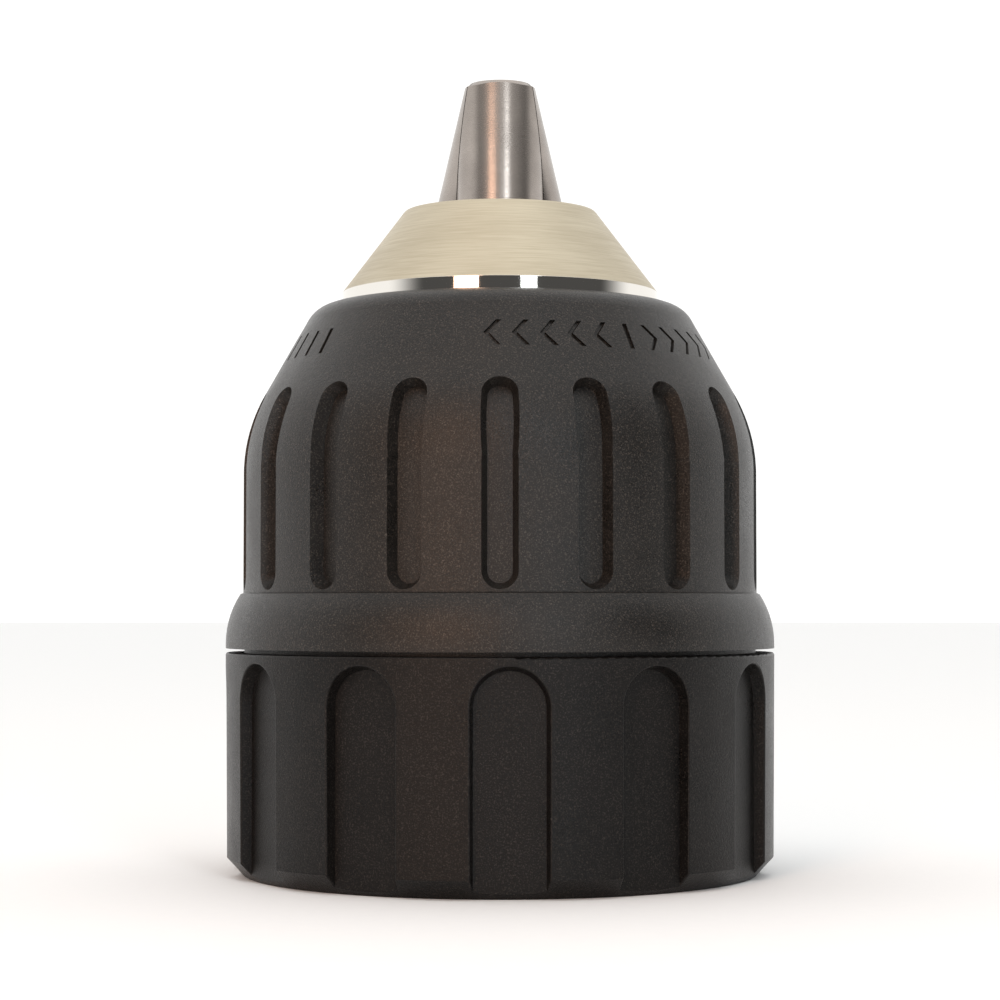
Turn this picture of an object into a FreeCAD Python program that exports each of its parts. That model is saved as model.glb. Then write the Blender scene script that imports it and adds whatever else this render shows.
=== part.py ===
"""Keyless drill chuck for shanks up to 10 mm, 43 mm across and 52 mm long without its jaws.

Millimetres. +Z is the chuck's axis, pointing out of the nose. The origin is the centre of the
rear face. The jaws are modelled closed. Every turned piece is a half section revolved about Z.
"""
import FreeCAD, Part
import math
import os
import Sketcher

V = FreeCAD.Vector
TURN = 360.0
TOUCH = 1e-6
SEEN = 0.02
JAWS = 3
BALLS = 18
KEYS = 4
FRONT_SLOTS = 18
REAR_RECESSES = 12
JAW_BEARINGS = {"jaw_1": 270.0, "jaw_2": 30.0, "jaw_3": 150.0}
REAR_RECESS_TURN = 1.95
# bearings of the engraved marks, in degrees round from the middle of the first jaw
MARK_STEP = 7.2
CHEVRONS = 5
TICKS = 9
FIRST_LOOSEN_MARK = -2.0
DIVIDER_MARK = 35.0
FIRST_TIGHTEN_MARK = 43.0
FIRST_TICK = -110.0

# Driving dimensions. Heights run up from the rear face, and radii out from the chuck's axis.
SIZES = {
    # how far a cut runs on past the surface that it opens
    "overcut": 1.0,
    # three inclined jaws
    "jaw_angle": 15.5,
    "jaw_meet": 58.8,
    "jaw_radius": 3.4,
    "jaw_tail": 21.6,
    "tip_top": 62.1,
    "tip_flat": 2.45,
    "tip_bevel": 0.35,
    "tip_clear": 6.0,
    "grip_land": 0.3,
    "grip_reach": 8.0,
    "grip_side": 16.0,
    "flank_gap": 0.05,
    "bore_clearance": 0.05,
    # conical thread between the nut and the jaws
    "pitch": 1.45,
    "thread_depth": 0.8,
    "root_gap": 0.1,
    "crest_gap": 0.12,
    "ridge_width": 0.4,
    "flank_clearance": 0.1,
    "thread_flank": 20.0,
    "thread_lead_in": 1.2,
    "thread_turns": 6.33,
    "tooth_count": 17.0,
    "nut_tool_foot": 0.3,
    "gap_mouth": 0.4,
    # chuck body
    "hub_radius": 10.5,
    "flange_bottom": 13.4,
    "flange_top": 17.4,
    "flange_radius": 18.8,
    "neck_radius": 15.8,
    "nut_groove_radius": 10.9,
    "collar_bottom": 28.0,
    "collar_radius": 13.2,
    "collar_top": 38.2,
    "journal_radius": 11.6,
    "journal_top": 43.0,
    "nose_radius": 9.2,
    "nose_shoulder": 47.3,
    "nose_tip_radius": 6.5,
    "nose_top": 51.0,
    "edge_break": 0.3,
    # bores of the chuck body: 3/8-24 spindle thread, retaining screw, 10 mm shank
    "thread_bore": 4.25,
    "thread_mouth": 5.2,
    "thread_floor": 11.0,
    "screw_bore": 2.7,
    "web_top": 13.0,
    "shank_bore": 5.2,
    "shank_bore_top": 26.5,
    "relief_bore": 5.45,
    "relief_cone": 0.25,
    # nut, its band and the keys that drive it
    "nut_bottom": 20.6,
    "nut_top": 27.6,
    "nut_radius": 17.0,
    "nut_split": 0.03,
    "band_bottom": 20.9,
    "band_top": 27.3,
    "band_radius": 17.8,
    "key_floor": 16.5,
    "key_bottom": 22.5,
    "key_top": 27.0,
    "key_width": 3.0,
    "key_gap": 0.1,
    "key_root": 0.3,
    # thrust bearing
    "race_height": 0.8,
    "race_inner": 15.88,
    "race_outer": 18.4,
    "ball_circle": 17.15,
    "ball_radius": 0.9,
    "ball_gap": 0.03,
    "track_radius": 0.95,
    "cage_inner": 15.95,
    "cage_outer": 18.35,
    "cage_height": 1.1,
    "cage_pocket": 0.97,
    # rear sleeve
    "rear_rim": 20.1,
    "rear_bevel_radius": 21.38,
    "rear_bevel_top": 1.4,
    "rear_radius": 21.5,
    "rear_top": 17.17,
    "rear_edge": 0.2,
    "rear_web_top": 3.0,
    "rear_dish_inner": 12.5,
    "rear_dish_outer": 18.6,
    "rear_dish_depth": 0.8,
    "rebate_radius": 20.3,
    "rebate_floor": 16.7,
    "recess_floor": 20.4,
    "recess_half_width": 2.62,
    "recess_arch": 13.55,
    "recess_draft": 16.0,
    "recess_edge": 0.12,
    # front sleeve
    "skirt_bottom": 17.5,
    "skirt_radius": 21.5,
    "flare_start": 17.85,
    "flare_radius": 7.0,
    "flare_top": 21.7,
    "flare_end_radius": 20.38,
    "ledge": 21.8,
    "drum_radius": 20.15,
    "blend_start": 31.1,
    "blend_radius": 12.4,
    "cone_angle": 29.6,
    "skin_top": 39.0,
    "slot_depth": 1.05,
    "slot_half_width": 0.93,
    "slot_draft": 22.0,
    "slot_start": 0.5,
    "slot_swell": 0.2,
    "slot_bottom": 22.6,
    "slot_top": 36.6,
    "crown_start": 43.19,
    "crown_radius": 2.4,
    "crown_top": 44.4,
    "crown_top_radius": 13.06,
    # engraved marks round the front sleeve's cone
    "mark_depth": 0.25,
    "mark_foot": 39.75,
    "mark_middle": 40.72,
    "mark_head": 41.7,
    "mark_band_top": 42.0,
    "mark_half": 0.65,
    "mark_inner_half": 0.25,
    "tick_half": 0.2,
    "lip_bottom": 16.85,
    "lip_inner": 19.3,
    "lip_outer": 20.05,
    "bearing_room": 19.3,
    "bearing_room_top": 20.7,
    "nut_room": 18.1,
    "nut_room_bottom": 21.3,
    "nut_room_top": 28.4,
    "collar_room": 16.0,
    "collar_room_top": 36.2,
    "collar_clear": 13.6,
    "head_bottom": 38.35,
    "head_bore": 11.65,
    "head_top": 42.9,
    "nose_recess": 12.7,
    # nose ring and its washer
    "washer_inner": 9.3,
    "washer_outer": 12.4,
    "washer_height": 0.3,
    "ring_radius": 12.5,
    "ring_cone_start": 45.4,
    "ring_top": 51.9,
    "ring_top_radius": 7.69,
    "ring_edge": 0.15,
    "ring_bore_top": 47.6,
    "ring_mouth": 6.8,
    "ring_mouth_start": 51.45,
}

jaw_lean = math.radians(SIZES["jaw_angle"])


def jaw_line(height):
    """Distance from the chuck's axis to a jaw's axis at this height."""
    return (SIZES["jaw_meet"] - height) * math.tan(jaw_lean)


def add_derived_sizes():
    """Sizes that follow from the driving ones, kept in the same sheet."""
    size = SIZES
    flank = math.tan(math.radians(size["thread_flank"]))
    slant_pitch = size["pitch"] / math.cos(jaw_lean)
    crest_reach = size["jaw_radius"] + size["root_gap"] - size["thread_depth"]
    crest_offset = crest_reach / math.cos(jaw_lean)
    size["crest_reach"] = crest_reach
    size["nut_crest_bottom"] = jaw_line(size["nut_bottom"]) + crest_offset
    size["nut_crest_top"] = jaw_line(size["nut_top"]) + crest_offset
    # the nut's groove, half widths at its root and a little inside the nut's bore
    mouth = slant_pitch - size["ridge_width"]
    size["nut_tool_root_half"] = mouth / 2 - size["thread_depth"] * flank
    size["nut_tool_foot_half"] = mouth / 2 + size["nut_tool_foot"] * flank
    size["thread_start"] = size["nut_bottom"] - size["thread_lead_in"] * size["pitch"]
    size["thread_start_radius"] = jaw_line(size["thread_start"]) + crest_offset
    size["thread_height"] = size["thread_turns"] * size["pitch"]
    # a jaw's tooth gap, measured out from the jaw's skin and along the jaw
    crest_depth = size["jaw_radius"] - crest_reach
    size["gap_depth"] = crest_depth + size["crest_gap"]
    at_crest = size["ridge_width"] / 2 + size["flank_clearance"]
    size["gap_floor_half"] = at_crest - size["crest_gap"] * flank
    size["gap_mouth_half"] = at_crest + (crest_depth + size["gap_mouth"]) * flank
    size["slant_pitch"] = slant_pitch
    middle = (size["nut_crest_bottom"] + size["nut_crest_top"]) / 2
    size["ring_of_teeth"] = middle + crest_depth * math.cos(jaw_lean)
    size["lead_angle"] = math.degrees(math.atan(slant_pitch / (2 * math.pi * middle)))
    # bearing
    size["race_top"] = size["flange_top"] + size["race_height"]
    size["upper_race_bottom"] = size["nut_bottom"] - size["race_height"]
    size["ball_height"] = (size["race_top"] + size["upper_race_bottom"]) / 2
    ball_foot = size["ball_height"] - size["ball_radius"] - size["ball_gap"]
    centre_rise = ball_foot + size["track_radius"] - size["race_top"]
    size["track_half"] = math.sqrt(size["track_radius"] ** 2 - centre_rise**2)
    # front sleeve: the blend between drum and cone, and the same line one slot depth inside
    cone = math.radians(size["cone_angle"])
    centre = size["drum_radius"] - size["blend_radius"]
    size["blend_end"] = size["blend_start"] + size["blend_radius"] * math.sin(cone)
    size["blend_end_radius"] = centre + size["blend_radius"] * math.cos(cone)
    inner = size["blend_radius"] - size["slot_depth"]
    size["floor_radius"] = size["drum_radius"] - size["slot_depth"]
    size["floor_blend_radius"] = inner
    size["floor_blend_end"] = size["blend_start"] + inner * math.sin(cone)
    size["floor_blend_end_radius"] = centre + inner * math.cos(cone)
    size["skin_top_radius"] = front_skin(size["skin_top"])
    size["skin_foot"] = size["skin_top"] - size["slot_depth"] * math.sin(cone)
    size["skin_foot_radius"] = size["skin_top_radius"] - size["slot_depth"] * math.cos(cone)
    size["crown_start_radius"] = front_skin(size["crown_start"])
    size["mark_band_radius"] = front_skin(size["mark_band_top"])
    # the slot's upper length, along the chord of its curved floor
    chord = size["slot_top"] - size["blend_start"]
    fall = math.atan((size["floor_radius"] - floor_line(size["slot_top"])) / chord)
    sunk = size["slot_start"] - size["slot_swell"]
    size["slot_tilt"] = math.degrees(fall)
    size["slot_rise"] = chord / math.cos(fall)
    size["upper_slot_foot"] = size["blend_start"] - sunk * math.sin(fall)
    size["upper_slot_radius"] = size["floor_radius"] - sunk * math.cos(fall)
    widening = size["slot_start"] * math.tan(math.radians(size["slot_draft"]))
    size["slot_start_half"] = size["slot_half_width"] - widening


def number(text):
    """Value of a sum of sizes and plain numbers, such as 'flange_top + race_height'."""
    total = 0.0
    sign = 1.0
    for word in text.split():
        if word == "+":
            sign = 1.0
        elif word == "-":
            sign = -1.0
        else:
            total += sign * (SIZES[word] if word in SIZES else float(word))
            sign = 1.0
    return total


def formula(text):
    """The same sum as an expression on the sheet."""
    return " ".join(f"sizes.{word}" if word in SIZES else word for word in text.split())


def fill_sheet(doc):
    sheet = doc.addObject("Spreadsheet::Sheet", "sizes")
    for row, (name, value) in enumerate(SIZES.items(), start=1):
        sheet.set(f"A{row}", name)
        sheet.set(f"B{row}", f"{value:.6f}")
        sheet.setAlias(f"B{row}", name)
    doc.recompute()


def new_body(doc, name, turn=0.0):
    """A body with its own label, turned about the chuck's axis by so many degrees."""
    body = doc.addObject("PartDesign::Body", name)
    body.Label = name
    body.Placement = FreeCAD.Placement(V(0, 0, 0), FreeCAD.Rotation(V(0, 0, 1), turn))
    return body


def origin_part(body, role):
    return next(item for item in body.Origin.OriginFeatures if item.Role == role)


def new_sketch(body, name, role, lift=None, bearing=0.0):
    """A sketch on one of the body's origin planes, lifted off it, or swung round its upright."""
    sketch = body.newObject("Sketcher::SketchObject", name)
    sketch.AttachmentSupport = [(origin_part(body, role), "")]
    sketch.MapMode = "FlatFace"
    if bearing:
        sketch.AttachmentOffset = FreeCAD.Placement(V(0, 0, 0), FreeCAD.Rotation(V(0, 1, 0), bearing))
    if lift:
        sketch.AttachmentOffset = FreeCAD.Placement(V(0, 0, number(lift)), FreeCAD.Rotation())
        sketch.setExpression("AttachmentOffset.Base.z", formula(lift))
    return sketch


def hold_point(sketch, curve, end, across, up):
    """Tie a curve's end to its two coordinates on the sheet."""
    for kind, axis, text in (("DistanceX", -2, across), ("DistanceY", -1, up)):
        if text == "0":
            sketch.addConstraint(Sketcher.Constraint("PointOnObject", curve, end, axis))
            continue
        index = sketch.addConstraint(Sketcher.Constraint(kind, curve, end, number(text)))
        sketch.setExpression(f"Constraints[{index}]", formula(text))


def arc_between(start, finish, radius, side):
    """The shorter arc from start to finish; side 1 bulges to the right of the way, -1 to the left."""
    chord = finish - start
    half = chord.Length / 2
    rise = radius - math.sqrt(radius**2 - half**2)
    outward = V(chord.y, -chord.x, 0).normalize() * side
    return Part.Arc(start, start + chord * 0.5 + outward * rise, finish)


def draw_outline(sketch, corners):
    """Closed outline through corners (across, up), or (across, up, radius, side) where an arc leaves."""
    spots = [V(number(corner[0]), number(corner[1]), 0) for corner in corners]
    ends = []
    for place, corner in enumerate(corners):
        start = spots[place]
        finish = spots[(place + 1) % len(spots)]
        if len(corner) == 2:
            curve = sketch.addGeometry(Part.LineSegment(start, finish), False)
            ends.append((curve, 1, 2))
            continue
        radius, side = corner[2], corner[3]
        curve = sketch.addGeometry(arc_between(start, finish, number(radius), side), False)
        ends.append((curve, 1, 2) if side > 0 else (curve, 2, 1))
        if finish.distanceToPoint(start) > 2 * number(radius) - TOUCH:
            # a half circle's centre lies level with its ends
            index = sketch.addConstraint(Sketcher.Constraint("DistanceY", curve, 3, start.y))
            sketch.setExpression(f"Constraints[{index}]", formula(corner[1]))
            continue
        index = sketch.addConstraint(Sketcher.Constraint("Radius", curve, number(radius)))
        sketch.setExpression(f"Constraints[{index}]", formula(radius))
    for place, corner in enumerate(corners):
        curve, first, last = ends[place]
        after = ends[(place + 1) % len(ends)]
        sketch.addConstraint(Sketcher.Constraint("Coincident", curve, last, after[0], after[1]))
        hold_point(sketch, curve, first, corner[0], corner[1])


def draw_circle(sketch, across, radius):
    curve = sketch.addGeometry(Part.Circle(V(number(across), 0, 0), V(0, 0, 1), number(radius)), False)
    index = sketch.addConstraint(Sketcher.Constraint("Radius", curve, number(radius)))
    sketch.setExpression(f"Constraints[{index}]", formula(radius))
    hold_point(sketch, curve, 3, across, "0")


def revolve(body, name, corners):
    """Turn a half section about the chuck's axis and add it to the body."""
    sketch = new_sketch(body, f"{name}_section", "XZ_Plane")
    draw_outline(sketch, corners)
    solid = body.newObject("PartDesign::Revolution", name)
    solid.Profile = sketch
    solid.ReferenceAxis = (sketch, ["V_Axis"])
    solid.Angle = TURN
    return solid


def cut_along(body, name, sketch, depth, draft=None):
    """Cut a closed sketch away, along its plane's own direction, widening by a draft angle if given."""
    pocket = body.newObject("PartDesign::Pocket", name)
    pocket.Profile = sketch
    pocket.Type = 0
    pocket.Reversed = True
    pocket.Length = number(depth)
    pocket.setExpression("Length", formula(depth))
    if draft:
        pocket.TaperAngle = number(draft)
        pocket.setExpression("TaperAngle", formula(draft))
    return pocket


def ring_of(body, name, features, count, spread=TURN):
    """Repeat features evenly round the chuck's axis, over a whole turn or part of one."""
    pattern = body.newObject("PartDesign::PolarPattern", name)
    pattern.Originals = features
    pattern.Axis = (origin_part(body, "Z_Axis"), [""])
    pattern.Angle = spread
    pattern.Occurrences = count
    body.Tip = pattern
    return pattern


def soften(body, name, radius, skin, low, high):
    """Round the edges cut into the body's skin between two heights; skin(height) is its radius there."""
    body.Document.recompute()
    base = body.Tip
    chosen = []
    for place, edge in enumerate(base.Shape.Edges, start=1):
        span = edge.LastParameter - edge.FirstParameter
        spots = [edge.valueAt(edge.FirstParameter + span * step / 4) for step in range(5)]
        heights = [spot.z for spot in spots]
        if min(heights) < low or max(heights) > high or max(heights) - min(heights) < SEEN:
            continue
        if all(abs(math.hypot(spot.x, spot.y) - skin(spot.z)) < SEEN for spot in spots):
            chosen.append(f"Edge{place}")
    fillet = body.newObject("PartDesign::Fillet", name)
    fillet.Base = (base, chosen)
    fillet.Radius = number(radius)
    fillet.setExpression("Radius", formula(radius))
    body.Tip = fillet


def lean_cylinder(body, kind, name, radius, low, high):
    """A cylinder about a jaw's axis, between two heights of that axis, leaning in towards +Z."""
    cylinder = body.newObject(kind, name)
    cylinder.setExpression("Radius", formula(radius))
    cylinder.setExpression("Height", f"({formula(high)} - ({formula(low)})) / cos(sizes.jaw_angle)")
    cylinder.Placement = FreeCAD.Placement(V(0, 0, 0), FreeCAD.Rotation(V(0, 1, 0), -SIZES["jaw_angle"]))
    reach = f"(sizes.jaw_meet - ({formula(low)})) * tan(sizes.jaw_angle)"
    cylinder.setExpression("Placement.Base.x", reach)
    cylinder.setExpression("Placement.Base.z", formula(low))
    return cylinder


def make_chuck_body(doc):
    """Steel body: threaded hub, bearing flange, nut groove, sleeve journal and nose."""
    body = new_body(doc, "chuck_body", JAW_BEARINGS["jaw_2"])
    revolve(body, "turned_body", [
        ("thread_mouth", "0"),
        ("hub_radius - edge_break", "0"),
        ("hub_radius", "edge_break"),
        ("hub_radius", "flange_bottom"),
        ("flange_radius", "flange_bottom"),
        ("flange_radius", "flange_top"),
        ("neck_radius", "flange_top"),
        ("neck_radius", "nut_bottom - edge_break"),
        ("nut_groove_radius", "nut_bottom - edge_break"),
        ("nut_groove_radius", "collar_bottom"),
        ("collar_radius", "collar_bottom"),
        ("collar_radius", "collar_top"),
        ("journal_radius", "collar_top"),
        ("journal_radius", "journal_top"),
        ("nose_radius", "journal_top"),
        ("nose_radius", "nose_shoulder"),
        ("nose_tip_radius", "nose_top"),
        ("relief_bore", "nose_top"),
        ("relief_bore", "shank_bore_top + relief_cone"),
        ("shank_bore", "shank_bore_top"),
        ("shank_bore", "web_top"),
        ("screw_bore", "web_top"),
        ("screw_bore", "thread_floor"),
        ("thread_bore", "thread_floor"),
        ("thread_bore", "thread_mouth - thread_bore"),
    ])
    bore = lean_cylinder(
        body, "PartDesign::SubtractiveCylinder", "jaw_bore", "jaw_radius + bore_clearance", "0", "jaw_meet"
    )
    ring_of(body, "jaw_bores", [bore], JAWS)


def first_gap(angle):
    """Height on a jaw's axis of its lowest tooth gap, in step with the nut's ridges at that bearing."""
    at_crest = SIZES["thread_start"] + SIZES["pitch"] * (angle / TURN + 0.5)
    on_axis = at_crest - SIZES["crest_reach"] * math.sin(jaw_lean)
    lowest = SIZES["jaw_tail"] - SIZES["gap_mouth_half"]
    steps = math.ceil((lowest - on_axis) / SIZES["pitch"])
    return on_axis + steps * SIZES["pitch"]


def make_jaw(doc, name, angle):
    """Jaw: a leaning round bar with a gripping wedge at the tip and thread teeth on its back."""
    body = new_body(doc, name, angle)
    lean_cylinder(body, "PartDesign::AdditiveCylinder", "bar", "jaw_radius", "jaw_tail", "tip_top + tip_bevel")

    wedge = new_sketch(body, "wedge_section", "XY_Plane", "collar_top")
    slope = math.tan(math.radians(TURN / JAWS / 2))
    near = SIZES["grip_land"] * slope - 2 * SIZES["flank_gap"]
    far = SIZES["grip_reach"] * slope - 2 * SIZES["flank_gap"]
    draw_outline(wedge, [
        ("grip_land", f"{-near}"),
        ("grip_reach", f"{-far}"),
        ("grip_reach", "0 - grip_side"),
        ("0 - grip_reach", "0 - grip_side"),
        ("0 - grip_reach", "grip_side"),
        ("grip_reach", "grip_side"),
        ("grip_reach", f"{far}"),
        ("grip_land", f"{near}"),
    ])
    cut_along(body, "wedge", wedge, "tip_top")

    tip = new_sketch(body, "tip_section", "XZ_Plane")
    draw_outline(tip, [
        ("0", "tip_top"),
        ("tip_flat", "tip_top"),
        ("tip_flat + tip_bevel", "tip_top - tip_bevel"),
        ("tip_flat + tip_clear", "tip_top - tip_bevel"),
        ("tip_flat + tip_clear", "tip_top + tip_clear"),
        ("0", "tip_top + tip_clear"),
    ])
    trim = body.newObject("PartDesign::Groove", "tip_trim")
    trim.Profile = tip
    trim.ReferenceAxis = (tip, ["V_Axis"])
    trim.Angle = TURN

    height = first_gap(angle)
    start = V(jaw_line(height), height, 0)
    outward = V(math.cos(jaw_lean), math.sin(jaw_lean), 0)
    lean = FreeCAD.Rotation(V(0, 0, 1), SIZES["jaw_angle"])
    way = new_sketch(body, "jaw_way", "XZ_Plane")
    way.AttachmentOffset = FreeCAD.Placement(V(0, 0, 0), lean)

    gap = new_sketch(body, "tooth_gap_section", "XZ_Plane")
    tilt = lean.multiply(FreeCAD.Rotation(V(1, 0, 0), SIZES["lead_angle"]))
    gap.AttachmentOffset = FreeCAD.Placement(start + outward * SIZES["jaw_radius"], tilt)
    draw_outline(gap, [
        ("0 - gap_depth", "0 - gap_floor_half"),
        ("gap_mouth", "0 - gap_mouth_half"),
        ("gap_mouth", "gap_mouth_half"),
        ("0 - gap_depth", "gap_floor_half"),
    ])
    centre = V(-math.cos(jaw_lean), math.sin(jaw_lean), 0) * SIZES["ring_of_teeth"]
    along = V(math.sin(jaw_lean), math.cos(jaw_lean), 0)
    gap.addGeometry(Part.LineSegment(centre, centre + along * SIZES["pitch"]), True)
    tooth_gap = body.newObject("PartDesign::Groove", "tooth_gap")
    tooth_gap.Profile = gap
    tooth_gap.ReferenceAxis = (gap, ["Axis0"])
    tooth_gap.Midplane = True
    tooth_gap.Angle = TURN / 4

    teeth = body.newObject("PartDesign::LinearPattern", "teeth")
    teeth.Originals = [tooth_gap]
    teeth.Direction = (way, ["V_Axis"])
    teeth.Occurrences = int(SIZES["tooth_count"])
    teeth.setExpression("Length", "sizes.slant_pitch * (sizes.tooth_count - 1)")
    body.Tip = teeth


def make_nut(doc):
    """Split nut: one ring with a conical internal thread, parted into two halves."""
    body = new_body(doc, "nut_ring")
    revolve(body, "ring", [
        ("nut_crest_bottom", "nut_bottom"),
        ("nut_radius", "nut_bottom"),
        ("nut_radius", "nut_top"),
        ("nut_crest_top", "nut_top"),
    ])
    profile = new_sketch(body, "thread_section", "XZ_Plane")
    start = V(SIZES["thread_start_radius"], SIZES["thread_start"], 0)
    profile.AttachmentOffset = FreeCAD.Placement(start, FreeCAD.Rotation(V(0, 0, 1), SIZES["jaw_angle"]))
    draw_outline(profile, [
        ("0 - nut_tool_foot", "0 - nut_tool_foot_half"),
        ("thread_depth", "0 - nut_tool_root_half"),
        ("thread_depth", "nut_tool_root_half"),
        ("0 - nut_tool_foot", "nut_tool_foot_half"),
    ])
    thread = body.newObject("PartDesign::SubtractiveHelix", "thread")
    thread.Profile = profile
    thread.ReferenceAxis = (origin_part(body, "Z_Axis"), [""])
    thread.Mode = 0
    thread.setExpression("Pitch", "sizes.pitch")
    thread.setExpression("Height", "sizes.thread_height")
    thread.setExpression("Angle", "-sizes.jaw_angle")

    slot = new_sketch(body, "key_slot_section", "XY_Plane", "key_bottom - key_gap")
    half = f"{SIZES['key_width'] / 2 + SIZES['key_gap']}"
    draw_outline(slot, [
        ("key_floor - key_gap", f"-{half}"),
        ("nut_radius + overcut", f"-{half}"),
        ("nut_radius + overcut", half),
        ("key_floor - key_gap", half),
    ])
    key_slot = cut_along(body, "key_slot", slot, "nut_top - key_bottom + overcut")
    ring_of(body, "key_slots", [key_slot], KEYS)

    room = SIZES["nut_radius"] + SIZES["overcut"]
    for name, side in (("nut_half_a", 1), ("nut_half_b", -1)):
        block = doc.addObject("Part::Box", f"{name}_block")
        block.Length = 2 * room
        block.Width = room
        block.Height = SIZES["nut_top"]
        low = SIZES["nut_split"] / 2 if side > 0 else -room - SIZES["nut_split"] / 2
        block.Placement = FreeCAD.Placement(V(-room, low, SIZES["thread_floor"]), FreeCAD.Rotation())
        half_nut = doc.addObject("Part::Common", name)
        half_nut.Label = name
        half_nut.Base = body
        half_nut.Tool = block


def make_nut_band(doc):
    """Steel band that holds the nut's halves together, notched for the sleeve's keys."""
    body = new_body(doc, "nut_band")
    revolve(body, "band", [
        ("nut_radius", "band_bottom"),
        ("band_radius", "band_bottom"),
        ("band_radius", "band_top"),
        ("nut_radius", "band_top"),
    ])
    notch = new_sketch(body, "notch_section", "XY_Plane", "key_bottom - key_gap")
    half = f"{SIZES['key_width'] / 2 + SIZES['key_gap']}"
    draw_outline(notch, [
        ("nut_radius - overcut", f"-{half}"),
        ("band_radius + overcut", f"-{half}"),
        ("band_radius + overcut", half),
        ("nut_radius - overcut", half),
    ])
    cut = cut_along(body, "notch", notch, "band_top - key_bottom + overcut")
    ring_of(body, "notches", [cut], KEYS)


def make_races(doc):
    """The thrust bearing's two hardened washers, each with a shallow ball track."""
    lower = new_body(doc, "lower_race")
    revolve(lower, "washer", [
        ("race_inner", "flange_top"),
        ("race_outer", "flange_top"),
        ("race_outer", "race_top"),
        ("ball_circle + track_half", "race_top", "track_radius", -1),
        ("ball_circle - track_half", "race_top"),
        ("race_inner", "race_top"),
    ])
    upper = new_body(doc, "upper_race")
    revolve(upper, "washer", [
        ("race_inner", "upper_race_bottom"),
        ("ball_circle - track_half", "upper_race_bottom", "track_radius", -1),
        ("ball_circle + track_half", "upper_race_bottom"),
        ("race_outer", "upper_race_bottom"),
        ("race_outer", "nut_bottom"),
        ("race_inner", "nut_bottom"),
    ])


def make_cage_and_balls(doc):
    body = new_body(doc, "ball_cage")
    half = f"{SIZES['cage_height'] / 2}"
    revolve(body, "ring", [
        ("cage_inner", f"ball_height - {half}"),
        ("cage_outer", f"ball_height - {half}"),
        ("cage_outer", f"ball_height + {half}"),
        ("cage_inner", f"ball_height + {half}"),
    ])
    circle = new_sketch(body, "pocket_section", "XY_Plane", "race_top")
    draw_circle(circle, "ball_circle", "cage_pocket")
    pocket = cut_along(body, "ball_pocket", circle, "upper_race_bottom - race_top")
    ring_of(body, "ball_pockets", [pocket], BALLS)
    for place in range(BALLS):
        ball = doc.addObject("Part::Sphere", f"bearing_ball_{place + 1:02d}")
        ball.Label = ball.Name
        ball.setExpression("Radius", "sizes.ball_radius")
        angle = math.radians(TURN * place / BALLS)
        spot = V(math.cos(angle), math.sin(angle), 0) * SIZES["ball_circle"]
        spot.z = SIZES["ball_height"]
        ball.Placement = FreeCAD.Placement(spot, FreeCAD.Rotation())


def floor_line(height):
    """Radius of the front slots' floor where it curves inward."""
    reach = SIZES["blend_radius"] - SIZES["slot_depth"]
    middle = SIZES["drum_radius"] - SIZES["blend_radius"]
    return middle + math.sqrt(reach**2 - (height - SIZES["blend_start"]) ** 2)


def rear_skin(height):
    """Outer radius of the rear sleeve: a bevel at the foot, then a slightly drafted wall."""
    rise = number("rear_top - rear_edge - rear_bevel_top")
    if height > SIZES["rear_bevel_top"]:
        draft = number("rear_radius - rear_bevel_radius") / rise
        return SIZES["rear_bevel_radius"] + (height - SIZES["rear_bevel_top"]) * draft
    bevel = number("rear_bevel_radius - rear_rim") / SIZES["rear_bevel_top"]
    return SIZES["rear_rim"] + height * bevel


def front_skin(height):
    """Outer radius of the front sleeve's drum, its blend and its cone."""
    above = height - SIZES["blend_start"]
    if above <= 0:
        return SIZES["drum_radius"]
    if height < SIZES["blend_end"]:
        return number("drum_radius - blend_radius") + math.sqrt(SIZES["blend_radius"] ** 2 - above**2)
    fall = math.tan(math.radians(SIZES["cone_angle"]))
    return SIZES["blend_end_radius"] - (height - SIZES["blend_end"]) * fall


def make_rear_sleeve(doc):
    """Moulded sleeve pressed on the body's flange, with arched finger recesses open at the rear."""
    body = new_body(doc, "rear_sleeve", REAR_RECESS_TURN)
    revolve(body, "shell", [
        ("hub_radius", "0"),
        ("rear_dish_inner", "0"),
        ("rear_dish_inner", "rear_dish_depth"),
        ("rear_dish_outer", "rear_dish_depth"),
        ("rear_dish_outer + rear_dish_depth", "0"),
        ("rear_rim", "0"),
        ("rear_bevel_radius", "rear_bevel_top"),
        ("rear_radius", "rear_top - rear_edge", "rear_edge", 1),
        ("rear_radius - rear_edge", "rear_top"),
        ("rebate_radius", "rear_top"),
        ("rebate_radius", "rebate_floor"),
        ("flange_radius", "rebate_floor"),
        ("flange_radius", "rear_web_top"),
        ("hub_radius", "rear_web_top"),
    ])
    arch = new_sketch(body, "recess_section", "XZ_Plane", "recess_floor")
    draw_outline(arch, [
        ("0 - recess_half_width", "0 - overcut"),
        ("recess_half_width", "0 - overcut"),
        ("recess_half_width", "recess_arch", "recess_half_width", 1),
        ("0 - recess_half_width", "recess_arch"),
    ])
    recess = cut_along(body, "recess", arch, "rear_radius - recess_floor + overcut", "recess_draft")
    ring_of(body, "recesses", [recess], REAR_RECESSES)
    arch_top = number("recess_arch + recess_half_width")
    soften(body, "recess_edges", "recess_edge", rear_skin, SEEN, arch_top + 1)


def stadium_outline(low, high):
    """A slot's outline between two heights, with a half round at each end."""
    return [
        ("slot_start_half", f"{low} + slot_start_half"),
        ("slot_start_half", f"{high} - slot_start_half", "slot_start_half", 1),
        ("0 - slot_start_half", f"{high} - slot_start_half"),
        ("0 - slot_start_half", f"{low} + slot_start_half", "slot_start_half", 1),
    ]


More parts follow.
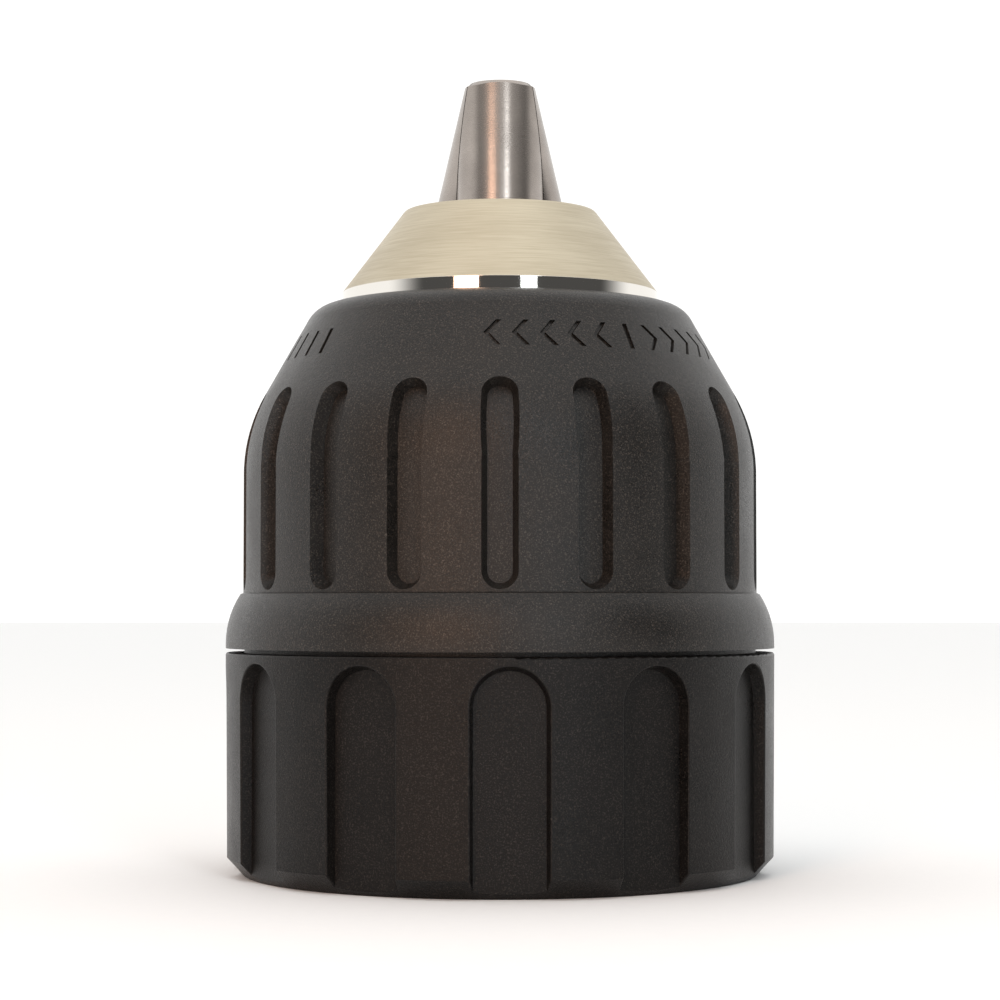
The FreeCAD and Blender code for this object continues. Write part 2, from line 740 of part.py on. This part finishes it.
def engrave_marks(body):
    """Turning arrows and ticks cut into the cone's skin: plain chevrons each way and upright strokes."""
    for name, side, first in (("loosen", "0 - ", FIRST_LOOSEN_MARK), ("tighten", "", FIRST_TIGHTEN_MARK)):
        back = "" if side else "0 - "
        sketch = new_sketch(body, f"{name}_section", "YZ_Plane", bearing=first)
        draw_outline(sketch, [
            (f"{side}mark_half", "mark_middle"),
            (f"{back}mark_inner_half", "mark_head"),
            (f"{back}mark_half", "mark_head"),
            (f"{side}mark_inner_half", "mark_middle"),
            (f"{back}mark_half", "mark_foot"),
            (f"{back}mark_inner_half", "mark_foot"),
        ])
        chevron = cut_along(body, name, sketch, "skirt_radius")
        ring_of(body, f"{name}_marks", [chevron], CHEVRONS, MARK_STEP * (CHEVRONS - 1))
    for name, first, count in (("divider", DIVIDER_MARK, 1), ("tick", FIRST_TICK, TICKS)):
        sketch = new_sketch(body, f"{name}_section", "YZ_Plane", bearing=first)
        draw_outline(sketch, [
            ("0 - tick_half", "mark_foot"),
            ("tick_half", "mark_foot"),
            ("tick_half", "mark_head"),
            ("0 - tick_half", "mark_head"),
        ])
        stroke = cut_along(body, name, sketch, "skirt_radius")
        if count > 1:
            ring_of(body, f"{name}_marks", [stroke], count, MARK_STEP * (count - 1))


def make_front_sleeve(doc):
    """Moulded sleeve: flared skirt, slotted drum and a cone that closes on the nose ring."""
    body = new_body(doc, "front_sleeve", JAW_BEARINGS["jaw_1"])
    revolve(body, "skin", [
        ("floor_radius", "ledge"),
        ("drum_radius", "ledge"),
        ("drum_radius", "blend_start", "blend_radius", 1),
        ("blend_end_radius", "blend_end"),
        ("mark_band_radius", "mark_band_top"),
        ("mark_band_radius - mark_depth", "mark_band_top"),
        ("skin_top_radius - mark_depth", "skin_top"),
        ("skin_foot_radius", "skin_foot"),
        ("floor_blend_end_radius", "floor_blend_end", "floor_blend_radius", -1),
        ("floor_radius", "blend_start"),
    ])
    stadium = new_sketch(body, "slot_section", "YZ_Plane", "floor_radius - slot_start")
    draw_outline(stadium, stadium_outline("slot_bottom", "blend_start + slot_half_width"))
    slot = cut_along(body, "slot", stadium, "slot_depth + slot_start + overcut", "slot_draft")
    upper = new_sketch(body, "upper_slot_section", "YZ_Plane")
    swing = FreeCAD.Rotation(V(-1, 0, 0), SIZES["slot_tilt"])
    upper.AttachmentOffset = FreeCAD.Placement(V(), swing)
    upper.setExpression("AttachmentOffset.Base.y", formula("upper_slot_foot"))
    upper.setExpression("AttachmentOffset.Base.z", formula("upper_slot_radius"))
    draw_outline(upper, stadium_outline("0 - slot_half_width", "slot_rise"))
    upper_slot = cut_along(body, "upper_slot", upper, "slot_depth + slot_start + overcut", "slot_draft")
    ring_of(body, "slots", [slot, upper_slot], FRONT_SLOTS)
    engrave_marks(body)
    revolve(body, "core", [
        ("skirt_radius", "skirt_bottom"),
        ("skirt_radius", "flare_start", "flare_radius", 1),
        ("flare_end_radius", "flare_top"),
        ("drum_radius", "ledge"),
        ("floor_radius", "ledge"),
        ("floor_radius", "blend_start", "floor_blend_radius", 1),
        ("floor_blend_end_radius", "floor_blend_end"),
        ("skin_foot_radius", "skin_foot"),
        ("skin_top_radius - mark_depth", "skin_top"),
        ("mark_band_radius - mark_depth", "mark_band_top"),
        ("mark_band_radius", "mark_band_top"),
        ("crown_start_radius", "crown_start", "crown_radius", 1),
        ("crown_top_radius", "crown_top"),
        ("nose_recess", "crown_top"),
        ("nose_recess", "head_top"),
        ("head_bore", "head_top"),
        ("head_bore", "head_bottom"),
        ("collar_clear", "head_bottom"),
        ("collar_room", "collar_room_top"),
        ("collar_room", "nut_room_top"),
        ("nut_room", "nut_room_top"),
        ("nut_room", "nut_room_bottom"),
        ("bearing_room", "bearing_room_top"),
        ("bearing_room", "lip_bottom"),
        ("lip_outer", "lip_bottom"),
        ("lip_outer", "skirt_bottom"),
    ])
    block = new_sketch(body, "key_section", "XY_Plane", "key_bottom")
    half = f"{SIZES['key_width'] / 2}"
    draw_outline(block, [
        ("key_floor", f"-{half}"),
        ("nut_room + key_root", f"-{half}"),
        ("nut_room + key_root", half),
        ("key_floor", half),
    ])
    key = body.newObject("PartDesign::Pad", "key")
    key.Profile = block
    key.setExpression("Length", formula("key_top - key_bottom"))
    ring_of(body, "keys", [key], KEYS)


def make_nose(doc):
    """Plated nose ring pressed on the body, and the thin washer it runs the sleeve against."""
    washer = new_body(doc, "slide_washer")
    revolve(washer, "disc", [
        ("washer_inner", "journal_top"),
        ("washer_outer", "journal_top"),
        ("washer_outer", "journal_top + washer_height"),
        ("washer_inner", "journal_top + washer_height"),
    ])
    ring = new_body(doc, "nose_ring")
    revolve(ring, "cone", [
        ("nose_radius", "journal_top + washer_height"),
        ("ring_radius", "journal_top + washer_height"),
        ("ring_radius", "ring_cone_start"),
        ("ring_top_radius", "ring_top - ring_edge"),
        ("ring_top_radius - ring_edge", "ring_top"),
        ("ring_mouth", "ring_top"),
        ("ring_mouth", "ring_mouth_start"),
        ("nose_radius", "ring_bore_top"),
    ])


def piece_names():
    names = ["chuck_body", "nut_half_a", "nut_half_b", "nut_band", "lower_race", "upper_race", "ball_cage"]
    names += ["rear_sleeve", "front_sleeve", "slide_washer", "nose_ring"]
    names += list(JAW_BEARINGS)
    names += [f"bearing_ball_{place + 1:02d}" for place in range(BALLS)]
    return names


def check_and_export(doc):
    """Stop on any failed object or bad shape, then write each piece to its own file."""
    for item in doc.Objects:
        if "Invalid" in item.State or "Error" in item.State:
            raise RuntimeError(f"{item.Label} failed: {item.State}")
    pieces = {item.Label: item for item in doc.Objects if item.Label in piece_names()}
    for name in piece_names():
        shape = pieces[name].Shape
        if shape.isNull() or not shape.isValid() or len(shape.Solids) != 1:
            raise RuntimeError(f"{name} has no single valid solid")
    for name in piece_names():
        pieces[name].Shape.exportStep(f"parts/{name}.step")
        print(f"{name}: {pieces[name].Shape.Volume:.2f} mm3")


def main():
    os.makedirs("parts", exist_ok=True)
    add_derived_sizes()
    doc = FreeCAD.newDocument("drill_chuck")
    fill_sheet(doc)
    make_chuck_body(doc)
    for name, angle in JAW_BEARINGS.items():
        make_jaw(doc, name, angle)
    make_nut(doc)
    make_nut_band(doc)
    make_races(doc)
    make_cage_and_balls(doc)
    make_rear_sleeve(doc)
    make_front_sleeve(doc)
    make_nose(doc)
    doc.recompute()
    check_and_export(doc)


main()
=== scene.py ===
"""Keyless drill chuck: materials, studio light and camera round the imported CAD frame. Metres."""
import bpy
import math
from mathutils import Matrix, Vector

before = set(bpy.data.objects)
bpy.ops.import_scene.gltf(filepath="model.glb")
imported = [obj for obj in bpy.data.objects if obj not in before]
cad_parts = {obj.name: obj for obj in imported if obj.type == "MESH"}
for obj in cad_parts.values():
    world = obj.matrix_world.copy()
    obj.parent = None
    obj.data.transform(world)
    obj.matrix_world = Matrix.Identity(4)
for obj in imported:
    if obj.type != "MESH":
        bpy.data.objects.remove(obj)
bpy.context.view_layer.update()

# The camera stands in front of the chuck, level with the front sleeve's flare, and looks up a little.
# The pitch is in degrees. The sensor and lens are in millimetres.
CAMERA_DISTANCE = 0.205
CAMERA_HEIGHT = 0.0208
CAMERA_PITCH = 2.33
CAMERA_NEAR = 0.01
CAMERA_FAR = 20.0
SENSOR = 36.0
LENS = 93.5

# height where the nose ring's polished band ends and its turned cone begins, and half the change's width
RING_CONE_START = 0.0454
RING_CHANGE = 0.00002

# the floor lies this far below the rear face, so that the two don't share a plane
FLOOR_GAP = 0.00002
FLOOR_SIZE = 6

# Noise is given in features to the millimetre, and Blender takes it in features to the metre.
PER_MM = 1000.0

# how turned and ground lines squeeze the noise along each axis: level rings, and lines across the jaws
RINGS = (0.15, 0.15, 5.0)
NOSE_RINGS = (0.12, 0.12, 6.0)
ACROSS = (1.0, 1.0, 5.0)

# direction's Y, turned by the skew, between which the studio rises from its front to its back level
FRONT_ENDS = -0.42
BACK_STARTS = 0.16
# direction's Z between which the studio rises to its top level
TOP_STARTS = 0.35
TOP_FULL = 0.95
STUDIO_WHITE = (1.0, 0.995, 0.985, 1.0)


def make_camera():
    data = bpy.data.cameras.new("camera")
    data.sensor_width = SENSOR
    data.lens = LENS
    data.clip_start = CAMERA_NEAR
    data.clip_end = CAMERA_FAR
    camera = bpy.data.objects.new("camera", data)
    camera.location = (0, -CAMERA_DISTANCE, CAMERA_HEIGHT)
    camera.rotation_euler = (math.radians(90 + CAMERA_PITCH), 0, 0)
    bpy.context.scene.collection.objects.link(camera)
    bpy.context.scene.camera = camera


class Shader:
    """A material's node tree, with one Principled shader and short calls for the nodes feeding it."""

    def __init__(self, name, metallic=0.0, **numbers):
        self.material = bpy.data.materials.new(name)
        self.material.use_nodes = True
        self.nodes = self.material.node_tree.nodes
        self.links = self.material.node_tree.links
        self.shader = self.nodes["Principled BSDF"]
        self.shader.inputs["Metallic"].default_value = metallic
        for socket, value in numbers.items():
            self.shader.inputs[socket.replace("_", " ")].default_value = value
        self.place = self.nodes.new("ShaderNodeTexCoord").outputs["Object"]

    def stretch(self, scale):
        """The piece's own coordinates, stretched by a scale for each axis."""
        mapping = self.nodes.new("ShaderNodeMapping")
        mapping.inputs["Scale"].default_value = scale
        self.links.new(self.place, mapping.inputs["Vector"])
        return mapping.outputs["Vector"]

    def noise(self, per_mm, detail=2.0, scale=(1, 1, 1), roughness=0.5):
        """Cloudy noise around 0.5, so many features to a millimetre, squeezed or drawn out along the axes."""
        node = self.nodes.new("ShaderNodeTexNoise")
        node.inputs["Scale"].default_value = per_mm * PER_MM
        node.inputs["Detail"].default_value = detail
        node.inputs["Roughness"].default_value = roughness
        self.links.new(self.stretch(scale), node.inputs["Vector"])
        return node.outputs["Fac"]

    def spread(self, value, low, high, start, end):
        """Map a value from one range to another and clamp it there."""
        node = self.nodes.new("ShaderNodeMapRange")
        for socket, number in (("From Min", low), ("From Max", high), ("To Min", start), ("To Max", end)):
            node.inputs[socket].default_value = number
        self.links.new(value, node.inputs["Value"])
        return node.outputs["Result"]

    def combine(self, first, second, operation="ADD"):
        """Add or multiply two values, either of which may be a plain number."""
        node = self.nodes.new("ShaderNodeMath")
        node.operation = operation
        for socket, value in zip(node.inputs, (first, second)):
            if isinstance(value, (int, float)):
                socket.default_value = value
            else:
                self.links.new(value, socket)
        return node.outputs["Value"]

    def blend(self, factor, first, second):
        """Mix two colours, or a colour and an earlier node's colour."""
        node = self.nodes.new("ShaderNodeMix")
        node.data_type = "RGBA"
        self.links.new(factor, node.inputs["Factor"])
        # the mix node has sockets of one name for numbers, vectors and colours: these are the colour ones
        colours = [socket for socket in node.inputs if socket.type == "RGBA"]
        for socket, value in zip(colours, (first, second)):
            if isinstance(value, tuple):
                socket.default_value = (*value, 1.0)
            else:
                self.links.new(value, socket)
        return next(socket for socket in node.outputs if socket.type == "RGBA")

    def height(self):
        """Height up the piece, in metres."""
        node = self.nodes.new("ShaderNodeSeparateXYZ")
        self.links.new(self.place, node.inputs["Vector"])
        return node.outputs["Z"]

    def colour(self, value):
        self.links.new(value, self.shader.inputs["Base Color"])

    def rough(self, value):
        self.links.new(value, self.shader.inputs["Roughness"])

    def bump(self, value, depth, strength=1.0):
        node = self.nodes.new("ShaderNodeBump")
        node.inputs["Distance"].default_value = depth
        node.inputs["Strength"].default_value = strength
        self.links.new(value, node.inputs["Height"])
        self.links.new(node.outputs["Normal"], self.shader.inputs["Normal"])


def moulded_plastic(name, dark, light, fleck, index):
    """Glass-filled black nylon: a fine spark-eroded grain, pale flecks of fibre and cloudy patches."""
    grain_per_mm, fleck_per_mm, cloud_per_mm = 6.0, 9.0, 0.22
    smooth, worn, swing = 0.29, 0.38, 0.08
    grain_depth, grain_strength = 0.00005, 0.7
    shader = Shader(name, IOR=index)
    grain = shader.noise(grain_per_mm, detail=4.0, roughness=0.7)
    clouds = shader.noise(cloud_per_mm, detail=4.0)
    body = shader.blend(shader.spread(clouds, 0.35, 0.68, 0.0, 1.0), dark, light)
    flecks = shader.spread(shader.noise(fleck_per_mm, detail=3.0, roughness=0.65), 0.52, 0.72, 0.0, 1.0)
    shader.colour(shader.blend(flecks, body, fleck))
    patches = shader.spread(clouds, 0.3, 0.7, smooth, worn)
    shader.rough(shader.combine(patches, shader.spread(grain, 0.3, 0.7, -swing, swing)))
    shader.bump(grain, grain_depth, grain_strength)
    return shader.material


def turned_nickel(name):
    """Satin nickel plate over turning lines, with a polished band below the cone."""
    line_per_mm, drift_per_mm = 2.2, 0.12
    gold, pale_gold = (0.52, 0.46, 0.345), (0.57, 0.51, 0.39)
    groove, polished = (0.41, 0.36, 0.27), (0.80, 0.77, 0.72)
    polish, satin, satin_worn, groove_share = 0.045, 0.36, 0.50, 0.3
    line_depth, line_strength = 0.000012, 0.6
    shader = Shader(name, metallic=1.0)
    lines = shader.noise(line_per_mm, detail=3.0, scale=NOSE_RINGS, roughness=0.6)
    drift = shader.noise(drift_per_mm, detail=2.0, scale=(1, 1, 2.5))
    foot, head = RING_CONE_START - RING_CHANGE, RING_CONE_START + RING_CHANGE
    on_cone = shader.spread(shader.height(), foot, head, 0.0, 1.0)
    plate = shader.blend(shader.spread(drift, 0.35, 0.65, 0.0, 1.0), gold, pale_gold)
    lined = shader.blend(shader.spread(lines, 0.38, 0.62, 0.0, groove_share), plate, groove)
    shader.colour(shader.blend(on_cone, polished, lined))
    dulled = shader.spread(lines, 0.35, 0.65, satin, satin_worn)
    shader.rough(shader.combine(shader.combine(dulled, on_cone, "MULTIPLY"), polish))
    shader.bump(shader.combine(lines, on_cone, "MULTIPLY"), line_depth, line_strength)
    return shader.material


def ground_steel(name, pale, dull, rough=0.2, lines=(1.0, 1.0, 1.0)):
    """Ground or turned steel: fine lines, a soft patina and slight smears in its gloss."""
    line_per_mm, patina_per_mm = 3.0, 0.3
    line_share, line_rough = 0.35, 0.35
    glossy, dulled = 0.85, 1.25
    line_depth, line_strength = 0.000004, 0.5
    shader = Shader(name, metallic=1.0)
    strokes = shader.noise(line_per_mm, detail=3.0, scale=lines, roughness=0.6)
    patina = shader.noise(patina_per_mm, detail=3.0)
    tone = shader.blend(shader.spread(patina, 0.35, 0.7, 0.0, 1.0), pale, dull)
    shader.colour(shader.blend(shader.spread(strokes, 0.4, 0.62, 0.0, line_share), tone, dull))
    smear = shader.spread(patina, 0.3, 0.7, rough * glossy, rough * dulled)
    shader.rough(shader.combine(smear, shader.spread(strokes, 0.3, 0.7, 0.0, rough * line_rough)))
    shader.bump(strokes, line_depth, line_strength)
    return shader.material


def board(name):
    """Pale matte board with a faint tooth."""
    tooth_per_mm, tooth_depth, tooth_strength = 0.9, 0.00002, 0.2
    shader = Shader(name)
    tooth = shader.noise(tooth_per_mm, detail=3.0)
    shader.colour(shader.blend(tooth, (0.90, 0.90, 0.90), (0.93, 0.93, 0.925)))
    shader.rough(shader.spread(tooth, 0.3, 0.7, 0.75, 0.9))
    shader.bump(tooth, tooth_depth, tooth_strength)
    return shader.material


def dress_pieces():
    """Give each CAD piece the finish of what it is made from."""
    looks = {
        "chuck_body": ground_steel(
            "body_steel", (0.36, 0.355, 0.35), (0.22, 0.215, 0.21), rough=0.3, lines=RINGS
        ),
        "rear_sleeve": moulded_plastic(
            "rear_plastic",
            dark=(0.0022, 0.0020, 0.0019),
            light=(0.0044, 0.0039, 0.0036),
            fleck=(0.040, 0.034, 0.030),
            index=1.29,
        ),
        "front_sleeve": moulded_plastic(
            "front_plastic",
            dark=(0.0056, 0.0050, 0.0044),
            light=(0.0096, 0.0084, 0.0073),
            fleck=(0.072, 0.061, 0.052),
            index=1.39,
        ),
        "nose_ring": turned_nickel("nickel_plate"),
        "slide_washer": ground_steel("washer_steel", (0.6, 0.59, 0.57), (0.45, 0.44, 0.42), rough=0.25),
        "lower_race": ground_steel(
            "race_steel", (0.62, 0.62, 0.61), (0.5, 0.5, 0.49), rough=0.14, lines=RINGS
        ),
        "ball_cage": ground_steel("cage_brass", (0.78, 0.6, 0.3), (0.6, 0.44, 0.2), rough=0.28),
        "nut_band": ground_steel("band_steel", (0.3, 0.31, 0.33), (0.2, 0.2, 0.215), rough=0.3, lines=RINGS),
        "nut_half_a": ground_steel("nut_steel", (0.24, 0.235, 0.23), (0.15, 0.148, 0.145), rough=0.42),
        "jaw": ground_steel("jaw_steel", (0.41, 0.365, 0.33), (0.31, 0.275, 0.25), rough=0.2, lines=ACROSS),
        "ball": ground_steel("ball_steel", (0.75, 0.75, 0.75), (0.66, 0.66, 0.66), rough=0.07),
    }
    shared = {"upper_race": "lower_race", "nut_half_b": "nut_half_a"}
    for name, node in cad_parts.items():
        kind = "jaw" if name.startswith("jaw_") else "ball" if name.startswith("bearing_ball") else name
        node.data.materials.clear()
        node.data.materials.append(looks[shared.get(kind, kind)])


def softbox(name, at, size, power, colour, aim=(0, 0, 0.03)):
    """A rectangular studio light turned towards the chuck."""
    data = bpy.data.lights.new(name, "AREA")
    data.shape = "RECTANGLE"
    data.size, data.size_y = size
    data.energy = power
    data.color = colour
    light = bpy.data.objects.new(name, data)
    light.location = at
    light.rotation_euler = (Vector(aim) - Vector(at)).to_track_quat("-Z", "Y").to_euler()
    bpy.context.scene.collection.objects.link(light)


def make_world(front, back, top, skew):
    """White to look at. It lights the chuck from all round, least from the front and the right."""
    world = bpy.data.worlds.new("studio")
    bpy.context.scene.world = world
    world.use_nodes = True
    nodes, links = world.node_tree.nodes, world.node_tree.links
    shade = nodes["Background"]
    split = nodes.new("ShaderNodeSeparateXYZ")
    links.new(nodes.new("ShaderNodeTexCoord").outputs["Generated"], split.inputs["Vector"])

    def slope(value, low, high, start, end):
        node = nodes.new("ShaderNodeMapRange")
        node.interpolation_type = "SMOOTHSTEP"
        for socket, number in (("From Min", low), ("From Max", high), ("To Min", start), ("To Max", end)):
            node.inputs[socket].default_value = number
        links.new(value, node.inputs["Value"])
        return node.outputs["Result"]

    def join(operation, first, second):
        node = nodes.new("ShaderNodeMath")
        node.operation = operation
        links.new(first, node.inputs[0])
        links.new(second, node.inputs[1])
        return node.outputs["Value"]

    turned = nodes.new("ShaderNodeMath")
    turned.operation = "MULTIPLY_ADD"
    links.new(split.outputs["X"], turned.inputs[0])
    turned.inputs[1].default_value = -skew
    links.new(split.outputs["Y"], turned.inputs[2])
    around = slope(turned.outputs["Value"], FRONT_ENDS, BACK_STARTS, front, back)
    overhead = slope(split.outputs["Z"], TOP_STARTS, TOP_FULL, 0.0, top)
    level = join("MAXIMUM", around, overhead)
    seen = nodes.new("ShaderNodeLightPath").outputs["Is Camera Ray"]
    links.new(join("MAXIMUM", level, seen), shade.inputs["Strength"])
    shade.inputs["Color"].default_value = STUDIO_WHITE


def make_floor():
    bpy.ops.mesh.primitive_plane_add(size=FLOOR_SIZE, location=(0, 0, -FLOOR_GAP))
    floor = bpy.context.object
    floor.name = "floor"
    floor.data.materials.append(board("pale_board"))


make_camera()
dress_pieces()
make_floor()
make_world(front=0.08, back=1.15, top=1.4, skew=0.18)
softbox("warm_side", at=(-0.18, -0.41, 0.12), size=(0.14, 0.5), power=1.15, colour=(1.0, 0.64, 0.46))
softbox("cool_side", at=(0.155, -0.42, 0.14), size=(0.09, 0.5), power=0.74, colour=(0.90, 0.96, 1.0))
bpy.context.scene.view_settings.view_transform = "Standard"
